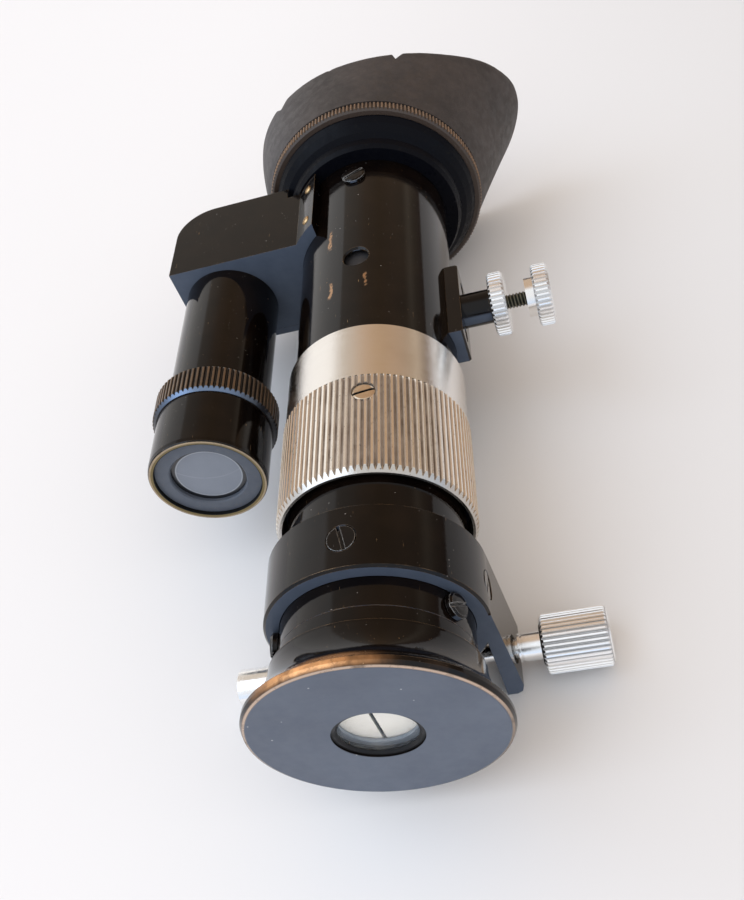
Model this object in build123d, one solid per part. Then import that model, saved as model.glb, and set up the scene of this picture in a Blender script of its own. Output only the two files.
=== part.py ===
from build123d import *
import math
import os

# Direct-vision hand spectroscope, eyepiece pattern, with a wavelength-scale tube.
# Units are millimetres. +Y runs along the optical axis from the slit to the eye,
# +X points to the adjusting screw, +Z points away from the yoke legs.
# The origin is on the optical axis in the front face of the slit cap.

# ---------------------------------------------------------------- driving sizes
face_r = 14.6            # flat front face of the slit cap
flange_r = 15.3          # widest point of the flange
step_r = 12.65           # end of the flare
step_y = 7.1
head_r = 11.7            # slit head and cap skirt
seam_y = 9.4             # where the turning cap meets the slit head
aperture_r = 5.29
window_sight_r = 4.6
slit_x = -0.5            # slit line, parallel to Z
slit_gap = 0.46

yoke_y0 = 13.15
yoke_y1 = 21.9
yoke_r = 13.65
yoke_bore_r = 11.75
leg_inner_x = 12.1
leg_outer_x = 14.5
leg_foot_z = -19.15
rod_y = 17.2
rod_z = -14.9
knob_x0 = 17.75
knob_x1 = 26.5

draw_r = 11.55
draw_wall = 0.5
draw_end_y = 50.0

sleeve_y0 = 27.5
sleeve_y1 = 44.2
sleeve_r = 13.1
sleeve_bore_r = 12.18
sleeve_flutes = 96
sleeve_turn = 60.0       # the screw in the sleeve runs in a slot of the main tube

band_y0 = 44.3
band_y1 = 54.3
band_r = 12.86

tube_r = 12.1
tube_bore_r = 11.6
tube_y0 = 31.0
tube_y1 = 100.9

scale_x = -25.4          # axis of the scale tube, parallel to Y
scale_tube_r = 7.7
scale_sleeve_r = 8.7
scale_hub_r = 8.2
scale_ring_r = 9.4
scale_front_y = 42.84

block_y0 = 82.0
block_y1 = 98.7
block_x0 = -33.2
block_top_z = 9.0
block_cover_z = -6.9
block_base_z = -8.2
block_corner_r = 6.5
saddle_r = 14.1
prism_y = 90.35

adjust_y = 67.4          # axis of the radial adjusting screw, along +X
adjust_face_x = 13.85

eye_plate_r = 17.46
eye_hub_r = 16.0
eye_ring_r = 18.7
eye_ring_teeth = 180

FIT = 0.05               # radial clearance of a turning or sliding fit


# ---------------------------------------------------------------- helper shapes
def turned(points, x=0.0, z=0.0):
    """Solid of revolution about an axis parallel to Y; points are (radius, y)."""
    profile = make_face(Polyline([(r, y) for r, y in points], close=True))
    return Pos(x, 0, z) * revolve(profile, Axis.Y)


def tube(r_out, r_in, y0, y1, x=0.0, z=0.0):
    return turned([(r_in, y0), (r_out, y0), (r_out, y1), (r_in, y1)], x, z)


def rod_y_axis(r, y0, y1, x=0.0, z=0.0):
    return turned([(0, y0), (r, y0), (r, y1), (0, y1)], x, z)


def box(x0, x1, y0, y1, z0, z1):
    centre = Pos((x0 + x1) / 2, (y0 + y1) / 2, (z0 + z1) / 2)
    return centre * Box(x1 - x0, y1 - y0, z1 - z0)


def lens(r, y_flat, y_crown, curve_r, x=0.0):
    """Plano-convex lens with its crown towards the eye."""
    blank = rod_y_axis(r, y_flat, y_crown + 1, x)
    return blank & (Pos(x, y_crown - curve_r, 0) * Sphere(curve_r))


def sector(profile_points, angle_from, angle_to):
    """Part of a turned shape between two angles measured from +X towards +Z."""
    profile = make_face(Polyline([(r, y) for r, y in profile_points], close=True))
    return Rot(0, -angle_to, 0) * revolve(profile, Axis.Y, angle_to - angle_from)


def rod_along_x(r, x0, x1, y, z):
    return Pos((x0 + x1) / 2, y, z) * Rot(0, 90, 0) * Cylinder(r, x1 - x0)


def rod_along_z(r, z0, z1, x, y):
    return Pos(x, y, (z0 + z1) / 2) * Cylinder(r, z1 - z0)


def toothed_face(r_root, r_crest, count, crest_share=0.34, root_share=0.16):
    """Closed saw-tooth outline for a straight knurl, around the local origin."""
    points = []
    pitch = 2 * math.pi / count
    for i in range(count):
        a = i * pitch
        for radius, share in (
            (r_root, -root_share / 2),
            (r_root, root_share / 2),
            (r_crest, 0.5 - crest_share / 2),
            (r_crest, 0.5 + crest_share / 2),
        ):
            angle = a + share * pitch
            points.append((radius * math.cos(angle), radius * math.sin(angle)))
    return make_face(Polyline(points, close=True))


def knurl_along_y(r_root, r_crest, count, y0, y1, x=0.0, z=0.0, crest=0.34, root=0.16):
    plane = Plane(origin=(x, y0, z), x_dir=(1, 0, 0), z_dir=(0, 1, 0))
    return extrude(plane * toothed_face(r_root, r_crest, count, crest, root), amount=y1 - y0)


def knurl_along_x(r_root, r_crest, count, x0, x1, y, z):
    plane = Plane(origin=(x0, y, z), x_dir=(0, 1, 0), z_dir=(1, 0, 0))
    return extrude(plane * toothed_face(r_root, r_crest, count), amount=x1 - x0)


def turned_x(points, y, z):
    """Solid of revolution about an axis parallel to X; points are (x, radius)."""
    profile = make_face(Polyline(list(points), close=True))
    return Pos(0, y, z) * revolve(profile, Axis.X)


def slotted_screw(head_r, head_h, shank_r, shank_len, slot_w, slot_d, countersunk=False):
    """Screw standing on its shank along -Z, with the head face at z = head_h."""
    if countersunk:
        head = make_face(
            Polyline(
                [(0, 0), (shank_r, 0), (head_r, head_h * 0.75), (head_r, head_h), (0, head_h)],
                close=True,
            )
        )
    else:
        head = make_face(
            Polyline(
                [
                    (0, 0),
                    (head_r, 0),
                    (head_r, head_h * 0.65),
                    (head_r * 0.82, head_h * 0.92),
                    (head_r * 0.5, head_h),
                    (0, head_h),
                ],
                close=True,
            )
        )
    head = revolve(Plane.XZ * head, Axis.Z)
    body = head + Pos(0, 0, -shank_len / 2) * Cylinder(shank_r, shank_len)
    return body - Pos(0, 0, head_h) * Box(2.4 * head_r, slot_w, 2 * slot_d)


def radial(part, radius, y, angle, spin=0.0):
    """Stand a +Z part on the optical axis cylinder at the given angle from +X."""
    return Pos(0, y, 0) * Rot(0, -angle, 0) * Pos(radius, 0, 0) * Rot(0, 90, 0) * Rot(0, 0, spin) * part


def radial_hole(r, r_from, r_to, y, angle):
    middle = (r_from + r_to) / 2
    return radial(Cylinder(r, r_to - r_from), middle, y, angle)


def group(parts):
    return Compound(children=list(parts))


nodes = {}

# ---------------------------------------------------------------- turning slit cap
flare_y0 = 1.15
flare_y1 = 6.8
cap_lip = Polyline((aperture_r, 0.0), (face_r, 0.0), (15.05, 0.18), (flange_r, 0.65), (flange_r, flare_y0))
cap_flare = Spline((flange_r, flare_y0), (13.9, 2.85), (13.0, 4.85), (step_r, flare_y1))
cap_skirt = Polyline(
    (step_r, flare_y1),
    (step_r, step_y),
    (head_r, step_y + 0.12),
    (head_r, seam_y - 0.06),
    (10.9, seam_y - 0.06),
    (10.9, 1.95),
    (4.5, 1.95),
    (4.5, 1.5),
    (aperture_r, 1.5),
    (aperture_r, 0.0),
)
nodes["front_cap"] = revolve(make_face(Wire([*cap_lip.edges(), cap_flare, *cap_skirt.edges()])), Axis.Y)

nodes["window_ring"] = turned(
    [
        (4.85, 0.25),
        (5.27, 0.25),
        (5.27, 0.6),
        (window_sight_r, 0.6),
        (window_sight_r, 0.5),
    ]
)
nodes["front_window"] = rod_y_axis(5.2, 0.65, 1.45)

# ---------------------------------------------------------------- slit head and jaws
jaw_y0 = 2.05
jaw_y1 = 3.95
guide_z = 5.4
nodes["slit_head"] = turned(
    [
        (9.7, 5.0),
        (10.85, 5.0),
        (10.85, seam_y),
        (head_r, seam_y),
        (head_r, 16.0),
        (10.6, 16.0),
        (10.6, 11.0),
        (7.0, 11.0),
        (7.0, 6.2),
        (9.7, 6.2),
    ]
)

# guide plate with the light slot and two rails for the moving jaw
plate = rod_y_axis(9.65, 4.0, 6.15)
light_slot = box(slit_x - 1.2, slit_x + 1.2, 3.5, 6.5, -4.6, 4.6)
rails = box(-9.0, 9.0, jaw_y0, 4.0, guide_z + 0.06, guide_z + 1.7)
rails += box(-9.0, 9.0, jaw_y0, 4.0, -guide_z - 1.7, -guide_z - 0.06)
jaw_bed = rod_y_axis(9.65, jaw_y0, 4.0)
nodes["slit_plate"] = plate - light_slot + (rails & jaw_bed)


def jaw(x_edge, x_far, side):
    """Slit jaw with a knife edge bevelled on the side away from the window."""
    outline = [
        (x_edge, jaw_y0),
        (x_edge, jaw_y0 + 0.12),
        (x_edge + side * 0.75, jaw_y1),
        (x_far, jaw_y1),
        (x_far, jaw_y0),
    ]
    face = make_face(Polyline(outline, close=True))
    body = extrude(face, amount=guide_z, both=True)
    return body & rod_y_axis(8.9, jaw_y0 - 1, jaw_y1 + 1)


nodes["jaw_fixed"] = jaw(slit_x - slit_gap / 2, -9.5, -1)
nodes["jaw_moving"] = jaw(slit_x + slit_gap / 2, 8.0, 1)

jaw_screw = slotted_screw(0.85, 0.55, 0.5, 2.3, 0.25, 0.22)
to_window = Rot(90, 0, 0)
jaw_screws = []
for z_pos in (-3.2, 3.2):
    counterbore = to_window * Cylinder(0.95, 0.62)
    shank_hole = to_window * Cylinder(0.53, 3.4)
    nodes["jaw_fixed"] -= Pos(-7.0, jaw_y0 + 0.3, z_pos) * counterbore
    nodes["jaw_fixed"] -= Pos(-7.0, jaw_y1, z_pos) * shank_hole
    nodes["slit_plate"] -= Pos(-7.0, jaw_y1, z_pos) * shank_hole
    jaw_screws.append(Pos(-7.0, jaw_y0 + 0.6, z_pos) * to_window * jaw_screw)
nodes["jaw_screws"] = group(jaw_screws)

# ---------------------------------------------------------------- draw tube
nodes["draw_tube"] = turned(
    [
        (10.05, 11.05),
        (10.55, 11.05),
        (10.55, 16.02),
        (draw_r, 16.02),
        (draw_r, draw_end_y),
        (draw_r - draw_wall, draw_end_y),
        (draw_r - draw_wall, 16.9),
        (10.05, 16.9),
    ]
)

# ---------------------------------------------------------------- yoke with two legs
leg_profile = [
    (leg_inner_x, 0.0),
    (yoke_r, 0.0),
    (leg_outer_x, -17.2),
    (leg_outer_x - 0.35, -18.6),
    (leg_outer_x - 1.1, leg_foot_z),
    (leg_inner_x, leg_foot_z),
]


def leg(side):
    plane = Plane(origin=(0, yoke_y0, 0), x_dir=(side, 0, 0), z_dir=(0, 1, 0))
    flip = -1 if side > 0 else 1
    face = make_face(Polyline([(x, flip * z) for x, z in leg_profile], close=True))
    return extrude(plane * face, amount=yoke_y1 - yoke_y0)


collar = turned(
    [
        (yoke_bore_r, yoke_y0),
        (yoke_r - 0.3, yoke_y0),
        (yoke_r, yoke_y0 + 0.3),
        (yoke_r, yoke_y1 - 0.12),
        (yoke_r - 0.12, yoke_y1),
        (yoke_bore_r, yoke_y1),
    ]
)
yoke = collar + leg(1) + leg(-1)
yoke -= rod_y_axis(yoke_bore_r, yoke_y0 - 1, yoke_y1 + 1)
yoke -= rod_along_x(1.32, -16, 16, rod_y, rod_z)

collar_screw = slotted_screw(1.72, 0.8, 0.9, 0.85, 0.42, 0.4, countersunk=True)
collar_screw_y = 17.4
collar_screw_angles = (91.8, 0.0, 180.0)
collar_screw_spins = (104.0, 60.0, 20.0)
collar_screws = []
for angle, spin in zip(collar_screw_angles, collar_screw_spins):
    yoke -= radial_hole(1.86, 12.8, 14.6, collar_screw_y, angle)
    yoke -= radial_hole(0.95, 11.0, 14.0, collar_screw_y, angle)
    collar_screws.append(radial(collar_screw, 12.83, collar_screw_y, angle, spin))
    nodes["draw_tube"] -= radial_hole(0.95, 10.0, 12.5, collar_screw_y, angle)
nodes["yoke"] = yoke
nodes["collar_screws"] = group(collar_screws)

head_screw = slotted_screw(1.62, 0.95, 0.85, 0.95, 0.42, 0.42)
head_screw_angles = (27.2, 165.0, 276.0)
head_screws = []
for angle, spin in zip(head_screw_angles, (25.0, 100.0, 60.0)):
    nodes["slit_head"] -= radial_hole(0.87, 10.4, 13.0, 11.45, angle)
    head_screws.append(radial(head_screw, head_r + 0.03, 11.45, angle, spin))
nodes["head_screws"] = group(head_screws)

# ---------------------------------------------------------------- cross bolt and knob
bolt_head = turned_x(
    [
        (-23.8, 0),
        (-23.8, 1.9),
        (-23.35, 2.6),
        (-14.65, 2.6),
        (-14.65, 0),
    ],
    rod_y,
    rod_z,
)
nodes["cross_bolt"] = bolt_head + rod_along_x(1.25, -14.8, 22.0, rod_y, rod_z)

knob_profile = turned_x(
    [
        (knob_x0, 0),
        (knob_x0, 3.3),
        (knob_x0 + 0.45, 3.85),
        (knob_x1 - 0.5, 3.85),
        (knob_x1, 3.3),
        (knob_x1, 0),
    ],
    rod_y,
    rod_z,
)
knob = knurl_along_x(3.5, 3.85, 36, knob_x0, knob_x1, rod_y, rod_z) & knob_profile
knob += turned_x(
    [
        (14.7, 0),
        (14.7, 1.9),
        (15.0, 1.9),
        (15.0, 1.65),
        (15.25, 1.65),
        (15.25, 1.86),
        (knob_x0 + 0.2, 1.86),
        (knob_x0 + 0.2, 0),
    ],
    rod_y,
    rod_z,
)
knob -= rod_along_x(1.3, 14.0, 22.6, rod_y, rod_z)
nodes["clamp_knob"] = knob

# ---------------------------------------------------------------- focusing sleeve
sleeve_body = turned(
    [
        (12.3, sleeve_y0),
        (12.62, sleeve_y0),
        (sleeve_r, sleeve_y0 + 0.95),
        (sleeve_r, sleeve_y1 - 0.15),
        (sleeve_r - 0.15, sleeve_y1),
        (sleeve_bore_r, sleeve_y1),
        (sleeve_bore_r, 31.5),
        (12.3, 31.0),
    ]
)
sleeve = sleeve_body & knurl_along_y(12.78, sleeve_r, sleeve_flutes, sleeve_y0, sleeve_y1)
sleeve_screw_y = 41.1
sleeve_screw_angle = 82.0
sleeve -= radial_hole(1.6, 12.45, 14.0, sleeve_screw_y, sleeve_screw_angle)
sleeve -= radial_hole(0.8, 11.9, 13.0, sleeve_screw_y, sleeve_screw_angle)
nodes["focus_sleeve"] = sleeve
set_screw = slotted_screw(1.52, 0.42, 0.75, 0.78, 0.4, 0.25)
nodes["sleeve_screw"] = radial(set_screw, 12.47, sleeve_screw_y, sleeve_screw_angle, 15.0)

# ---------------------------------------------------------------- main tube and band
main_tube = tube(tube_r, tube_bore_r, tube_y0, tube_y1)
hole_y = 71.0
main_tube -= radial_hole(1.9, 11.0, 12.6, hole_y, 89.0)
main_tube -= radial(Cone(1.9, 2.25, 0.36), tube_r - 0.16, hole_y, 89.0)
main_tube -= radial_hole(1.15, 11.0, 12.6, adjust_y, 0.0)
main_tube -= box(-13.0, -10.0, prism_y - 4.0, prism_y + 4.0, -4.0, 4.0)
main_tube -= radial_hole(0.8, 11.0, 12.6, 92.4, 91.5)
main_tube -= sector(
    [(11.0, 40.2), (13.0, 40.2), (13.0, 42.0), (11.0, 42.0)],
    sleeve_screw_angle - sleeve_turn - 6.0,
    sleeve_screw_angle + sleeve_turn + 6.0,
)
nodes["nickel_band"] = turned(
    [
        (tube_r + 0.02, band_y0),
        (band_r, band_y0),
        (band_r, band_y1 - 0.2),
        (band_r - 0.25, band_y1),
        (tube_r + 0.02, band_y1),
    ]
)
tube_screw = slotted_screw(1.95, 0.6, 0.78, 0.9, 0.45, 0.3)
nodes["tube_screw"] = radial(tube_screw, tube_r + 0.1, 92.4, 91.5, 30.0)

# ---------------------------------------------------------------- collimator
nodes["collimator_cell"] = turned(
    [
        (9.6, 52.9),
        (tube_bore_r - 0.02, 52.9),
        (tube_bore_r - 0.02, 57.6),
        (10.3, 57.6),
        (10.3, 53.7),
        (9.6, 53.7),
    ]
)
nodes["collimator_lens"] = lens(10.25, 53.75, 56.5, 28.6)
nodes["collimator_ring"] = tube(10.25, 9.4, 56.6, 57.5)

# ---------------------------------------------------------------- prism train
half = 6.0
left_y = (62.0, 73.0, 75.5, prism_y - half)
right_y = (66.0, 67.5, 82.5, prism_y + half)
names = ("prism_entry", "prism_flint", "prism_exit")
for name, i in zip(names, range(3)):
    wedge = make_face(
        Polyline(
            [(-half, left_y[i]), (half, right_y[i]), (half, right_y[i + 1]), (-half, left_y[i + 1])],
            close=True,
        )
    )
    nodes[name] = extrude(wedge, amount=half, both=True)

cell = rod_y_axis(10.9, 60.5, 84.0)
cell -= box(-half - 0.03, half + 0.03, 61.9, 85.0, -half - 0.03, half + 0.03)
cell -= box(-4.8, 4.8, 60.0, 62.5, -4.8, 4.8)
nodes["prism_cell"] = cell

# ---------------------------------------------------------------- adjusting screw
block = box(11.0, adjust_face_x, adjust_y - 7.65, adjust_y + 7.65, -3.13, 3.13)
block = chamfer(block.edges().filter_by(Axis.Z).group_by(Axis.X)[-1], 0.3)
block -= rod_y_axis(tube_r + 0.02, 55.0, 80.0)
block -= rod_along_x(2.62, 10.0, 15.0, adjust_y, 0.0)
block_screw = slotted_screw(1.15, 0.6, 0.6, 1.0, 0.32, 0.28, countersunk=True)
block_screws = []
for y_pos in (adjust_y - 5.2, adjust_y + 5.2):
    block -= rod_along_x(1.18, adjust_face_x - 0.75, 15.0, y_pos, 0.0)
    block -= rod_along_x(0.62, 11.0, 14.0, y_pos, 0.0)
    seat = Pos(adjust_face_x - 0.7, y_pos, 0) * Rot(0, 90, 0)
    block_screws.append(seat * Rot(0, 0, 35) * block_screw)
nodes["adjust_block"] = block
nodes["block_screws"] = group(block_screws)
nodes["adjust_bushing"] = turned_x(
    [(12.4, 1.2), (12.4, 2.6), (18.0, 2.6), (18.1, 2.5), (18.1, 1.2)],
    adjust_y,
    0.0,
)
nodes["lock_nut"] = (
    knurl_along_x(4.5, 4.85, 40, 18.2, 20.55, adjust_y, 0.0)
    & turned_x(
        [(18.2, 1.15), (18.2, 4.45), (18.55, 4.85), (20.2, 4.85), (20.55, 4.45), (20.55, 1.15)],
        adjust_y,
        0.0,
    )
)
screw = rod_along_x(1.12, 9.35, 23.6, adjust_y, 0.0)
screw += turned_x([(23.5, 0), (23.5, 2.95), (24.75, 2.95), (24.75, 0)], adjust_y, 0.0)
nodes["adjust_screw"] = screw
nodes["adjust_knob"] = (
    knurl_along_x(4.3, 4.65, 40, 24.75, 27.2, adjust_y, 0.0)
    & turned_x(
        [(24.75, 0), (24.75, 4.3), (25.1, 4.65), (26.8, 4.65), (27.2, 4.2), (27.2, 0)],
        adjust_y,
        0.0,
    )
)
pad = Pos(8.5, adjust_y, 0) * Rot(0, 90, 0) * Cylinder(1.6, 1.6)
nodes["adjust_pad"] = pad
nodes["prism_cell"] -= rod_along_x(1.9, 7.55, 12.0, adjust_y, 0.0)

# ---------------------------------------------------------------- prism housing
outline = Polyline(
    [(block_x0, block_y0), (-10.0, block_y0), (-10.0, block_y1), (block_x0, block_y1)],
    close=True,
)
outline_face = make_face(outline)
outer_corner = outline_face.vertices().sort_by(Axis.X)[:2].sort_by(Axis.Y)[-1]
outline_face = fillet(outer_corner, block_corner_r)

housing = Pos(0, 0, block_cover_z) * extrude(outline_face, amount=block_top_z - block_cover_z)
cheek = rod_y_axis(saddle_r, block_y0, block_y1) - box(-7.2, 20, 80, 100, -20, 20)
housing += cheek
housing -= rod_y_axis(tube_r + 0.02, block_y0 - 1, block_y1 + 1)
housing -= rod_y_axis(16.0, 96.25, block_y1 + 1)
leg_mm = 5.5
cavity = make_face(
    Polyline(
        [
            (scale_x - leg_mm - 0.25, prism_y - leg_mm - 0.1),
            (scale_x + leg_mm + 0.1, prism_y - leg_mm - 0.1),
            (scale_x + leg_mm + 0.1, prism_y + leg_mm + 0.25),
        ],
        close=True,
    )
)
housing -= Pos(0, 0, block_cover_z) * extrude(cavity, amount=5.6 - block_cover_z)
housing -= box(-20.0, -11.0, prism_y - 4.0, prism_y + 4.0, -4.0, 4.0)
housing -= rod_y_axis(6.85, block_y0 - 1, prism_y - leg_mm, scale_x)

cover = Pos(0, 0, block_base_z) * extrude(outline_face, amount=block_cover_z - block_base_z - 0.03)
cover -= rod_y_axis(saddle_r + 0.1, block_y0 - 1, block_y1 + 1)
cover -= rod_y_axis(16.0, 96.25, block_y1 + 1)
cover_screw = slotted_screw(1.15, 0.6, 0.6, 2.0, 0.32, 0.28, countersunk=True)
cover_screws = []
for x_pos, y_pos in ((-17.2, 84.2), (-17.2, 96.4), (-29.4, 94.7)):
    cover -= rod_along_z(1.18, -9.0, block_base_z + 0.65, x_pos, y_pos)
    cover -= rod_along_z(0.62, -9.0, -6.0, x_pos, y_pos)
    housing -= rod_along_z(0.62, -7.2, -4.6, x_pos, y_pos)
    place = Pos(x_pos, y_pos, block_base_z + 0.62) * Rot(180, 0, 0)
    cover_screws.append(place * Rot(0, 0, 40) * cover_screw)
nodes["housing_cover"] = cover
nodes["cover_screws"] = group(cover_screws)

pin_angles = (128.0, 232.0)
saddle_pins = []
pin = slotted_screw(0.78, 0.55, 0.45, 1.5, 0.22, 0.2)
for angle in pin_angles:
    for y_pos in (84.9, 93.6):
        housing -= radial_hole(0.82, saddle_r - 0.35, 15.4, y_pos, angle)
        housing -= radial_hole(0.5, 11.5, 15.0, y_pos, angle)
        main_tube -= radial_hole(0.5, 11.0, 12.6, y_pos, angle)
        saddle_pins.append(radial(pin, saddle_r - 0.33, y_pos, angle, 40.0))
nodes["saddle_pins"] = group(saddle_pins)
nodes["prism_housing"] = housing
nodes["main_tube"] = main_tube

corner = make_face(
    Polyline(
        [
            (scale_x - leg_mm, prism_y - leg_mm),
            (scale_x + leg_mm, prism_y - leg_mm),
            (scale_x + leg_mm, prism_y + leg_mm),
        ],
        close=True,
    )
)
nodes["corner_prism"] = extrude(corner, amount=5.5, both=True)

# ---------------------------------------------------------------- scale tube
scale_tube = tube(scale_tube_r, 6.95, 50.0, block_y0 - 0.02, scale_x)
scale_tube += tube(6.8, 6.0, block_y0 - 0.6, 83.9, scale_x)
scale_tube += tube(scale_tube_r, 6.0, block_y0 - 0.8, block_y0 - 0.02, scale_x)
nodes["scale_tube"] = scale_tube

nodes["scale_lens"] = lens(6.9, 70.0, 72.5, 15.0, scale_x)
nodes["scale_lens_ring"] = tube(6.9, 6.1, 68.8, 69.95, scale_x)

nodes["scale_sleeve"] = turned(
    [
        (scale_tube_r + 0.06, scale_front_y + 0.1),
        (8.2, scale_front_y),
        (8.45, scale_front_y),
        (8.6, scale_front_y + 0.2),
        (scale_sleeve_r, 43.6),
        (scale_sleeve_r, 52.45),
        (scale_hub_r, 52.45),
        (scale_hub_r, 56.9),
        (scale_tube_r + 0.06, 56.9),
    ],
    scale_x,
)
ring_profile = turned(
    [
        (scale_hub_r + 0.02, 52.5),
        (8.85, 52.5),
        (scale_ring_r, 53.1),
        (scale_ring_r, 57.0),
        (9.1, 57.35),
        (scale_hub_r + 0.02, 57.35),
    ],
    scale_x,
)
nodes["scale_knurl_ring"] = ring_profile & knurl_along_y(
    scale_ring_r - 0.3, scale_ring_r, 74, 52.0, 57.6, scale_x, 0.0
)
nodes["scale_end_ring"] = turned(
    [(5.5, 43.7), (5.7, 43.5), (7.72, 43.5), (7.72, 44.2), (5.5, 44.2)],
    scale_x,
)
nodes["scale_screen"] = rod_y_axis(7.65, 44.25, 45.25, scale_x)
nodes["scale_holder"] = turned(
    [
        (5.6, 46.3),
        (7.68, 46.3),
        (7.68, 47.1),
        (6.88, 47.1),
        (6.88, 57.0),
        (6.1, 57.0),
        (6.1, 47.5),
        (5.6, 47.5),
    ],
    scale_x,
)
nodes["scale_plate"] = rod_y_axis(6.05, 47.55, 48.75, scale_x)

# ---------------------------------------------------------------- eye end
nodes["eye_plate"] = turned(
    [
        (tube_r + 0.02, 96.4),
        (14.3, 96.4),
        (14.75, 97.2),
        (15.0, 98.3),
        (15.9, 98.9),
        (16.9, 100.0),
        (eye_plate_r, 101.0),
        (eye_plate_r, 101.35),
        (eye_hub_r, 101.35),
        (eye_hub_r, 103.7),
        (9.4, 103.7),
        (9.4, 102.0),
        (8.6, 102.0),
        (8.6, 101.0),
        (tube_r + 0.02, 101.0),
    ]
)
nodes["eye_window"] = rod_y_axis(9.35, 102.05, 103.25)
nodes["eye_cap"] = turned(
    [
        (9.35, 103.3),
        (9.35, 103.75),
        (16.9, 103.75),
        (16.9, 104.3),
        (15.6, 104.75),
        (9.0, 104.75),
        (7.6, 103.9),
        (7.6, 103.3),
    ]
)
ring_blank = turned(
    [
        (eye_hub_r + FIT, 101.4),
        (18.2, 101.4),
        (eye_ring_r, 101.8),
        (eye_ring_r, 103.3),
        (18.3, 103.55),
        (17.85, 103.55),
        (17.85, 106.6),
        (17.2, 106.6),
        (17.2, 103.7),
        (eye_hub_r + FIT, 103.7),
    ]
)
nodes["eye_ring"] = ring_blank & knurl_along_y(
    18.42, eye_ring_r, eye_ring_teeth, 101.0, 107.0, 0.0, 0.0, 0.2, 0.2
)

# rubber eyecup: oval sections that swing out to the wing on the +X side
cup_sections = (
    # y, half width x, half width z, centre x
    (103.6, 18.75, 18.75, 0.0),
    (106.4, 19.9, 18.85, 0.07),
    (111.0, 21.3, 18.95, 0.47),
    (117.0, 22.95, 19.05, 1.25),
    (123.0, 24.3, 19.15, 2.4),
    (129.0, 25.6, 19.2, 3.6),
)
cup_wall = 1.5


def oval(y, half_x, half_z, centre_x):
    plane = Plane(origin=(centre_x, y, 0), x_dir=(1, 0, 0), z_dir=(0, 1, 0))
    return plane * Ellipse(half_x, half_z)


def cup_solid(inset):
    sections = [oval(y, a - inset, b - inset, c) for y, a, b, c in cup_sections]
    return loft(sections)


cup = cup_solid(0.0) - cup_solid(cup_wall)
cup -= rod_y_axis(17.88, 103.0, 106.7)
rim_points = (
    (-26.0, 119.3),
    (-19.0, 119.2),
    (-9.5, 118.35),
    (3.0, 117.75),
    (15.8, 120.0),
    (25.0, 124.5),
    (28.6, 127.3),
    (33.0, 130.5),
)
cutter_face = make_face(
    Spline(*rim_points) + Polyline([rim_points[-1], (33, 142), (-26, 142), rim_points[0]])
)
cup -= extrude(cutter_face, amount=30, both=True)
nodes["eyecup"] = cup

# ---------------------------------------------------------------- write the parts
os.makedirs("parts", exist_ok=True)
for node, shape in nodes.items():
    export_step(shape, f"parts/{node}.step")
    print(node, round(shape.volume, 2), "mm3")
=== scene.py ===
import math

import bmesh
import bpy
from mathutils import Matrix, Vector, noise

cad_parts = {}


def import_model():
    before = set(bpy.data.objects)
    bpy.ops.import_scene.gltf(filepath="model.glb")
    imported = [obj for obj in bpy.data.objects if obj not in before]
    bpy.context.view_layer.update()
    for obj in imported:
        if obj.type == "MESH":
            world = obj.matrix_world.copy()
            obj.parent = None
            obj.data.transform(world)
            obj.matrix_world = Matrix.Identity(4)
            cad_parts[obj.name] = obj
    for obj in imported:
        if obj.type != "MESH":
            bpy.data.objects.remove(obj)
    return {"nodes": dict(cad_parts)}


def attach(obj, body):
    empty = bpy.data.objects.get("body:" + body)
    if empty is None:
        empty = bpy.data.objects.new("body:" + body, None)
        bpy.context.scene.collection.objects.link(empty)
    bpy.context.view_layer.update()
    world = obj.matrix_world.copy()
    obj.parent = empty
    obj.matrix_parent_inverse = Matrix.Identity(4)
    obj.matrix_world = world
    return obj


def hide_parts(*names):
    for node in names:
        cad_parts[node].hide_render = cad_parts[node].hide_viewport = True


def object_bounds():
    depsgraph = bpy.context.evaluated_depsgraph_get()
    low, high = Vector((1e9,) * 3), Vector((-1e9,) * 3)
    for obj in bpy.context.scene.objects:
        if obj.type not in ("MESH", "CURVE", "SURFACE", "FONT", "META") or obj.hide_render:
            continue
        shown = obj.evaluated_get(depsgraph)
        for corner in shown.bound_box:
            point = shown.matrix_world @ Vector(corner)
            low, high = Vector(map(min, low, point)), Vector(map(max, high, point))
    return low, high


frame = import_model()
cad_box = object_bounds()
nodes = frame["nodes"]
scene = bpy.context.scene
MM = 0.001

# axes of the pieces in the part's frame, in mm; the barrel's own axis is x = z = 0
SCALE_X = -25.4
ADJUST_Y = 67.4
ROD_Y = 17.2
ROD_Z = -14.9


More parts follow.
